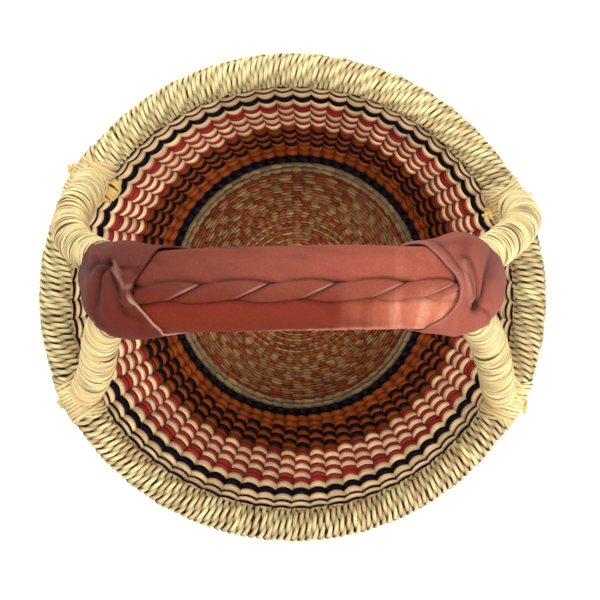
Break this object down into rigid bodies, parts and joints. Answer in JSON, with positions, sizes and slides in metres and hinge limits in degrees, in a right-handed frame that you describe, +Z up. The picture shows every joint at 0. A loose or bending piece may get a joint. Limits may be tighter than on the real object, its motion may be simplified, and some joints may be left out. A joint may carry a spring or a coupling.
{
  "type": "handled basket",
  "caption": "Round open basket of twined dyed grass with a bound rim and an arched, leather-covered handle.",
  "frame": {"origin": "middle of the flat underside of the floor, on the surface that the basket stands on", "axes": "+Z up out of the basket's mouth, +X along the handle's grip, the handle leaning a little to +Y"},
  "size_m": [0.3434, 0.3318, 0.2654],
  "materials": {
    "rim_straw": "dry natural grass, twisted",
    "leg_straw": "dry natural grass, split and bound",
    "wall_straw": "dry natural grass, twined",
    "floor_straw": "dry natural grass, twined, a little green",
    "orange_straw": "grass dyed orange, twined",
    "red_straw": "grass dyed red, twined",
    "black_straw": "grass dyed blue-black, twined",
    "knot_straw": "tied grass ends",
    "core_grass": "bundled grass stalks",
    "leather": "soft dyed goatskin, matt with a low sheen"
  },
  "bodies": {
    "root": {"floor_border": "floor_straw", "floor_check_weave": "orange_straw", "floor_centre": "floor_straw", "wall_base_band": "black_straw", "wall_orange_weave": "orange_straw", "wall_red_weave": "red_straw", "wall_black_band": "black_straw", "wall_top_weave": "wall_straw", "rim_core": "core_grass", "rim_binding": "rim_straw", "handle_core_front": "core_grass", "handle_core_back": "core_grass", "leg_binding_front_left": "leg_straw", "leg_binding_front_right": "leg_straw", "leg_binding_back_left": "leg_straw", "leg_binding_back_right": "leg_straw", "foot_lashing_front_left": "leg_straw", "foot_lashing_front_right": "leg_straw", "foot_lashing_back_left": "leg_straw", "foot_lashing_back_right": "leg_straw", "outer_knot_front_left": "knot_straw", "outer_knot_front_right": "knot_straw", "outer_knot_back_left": "knot_straw", "outer_knot_back_right": "knot_straw", "inner_knot_front_left": "knot_straw", "inner_knot_front_right": "knot_straw", "inner_knot_back_left": "knot_straw", "inner_knot_back_right": "knot_straw", "grip_cover": "leather", "grip_lacing": "leather", "cuff_left": "leather", "cuff_right": "leather"}
  },
  "joints": []
}
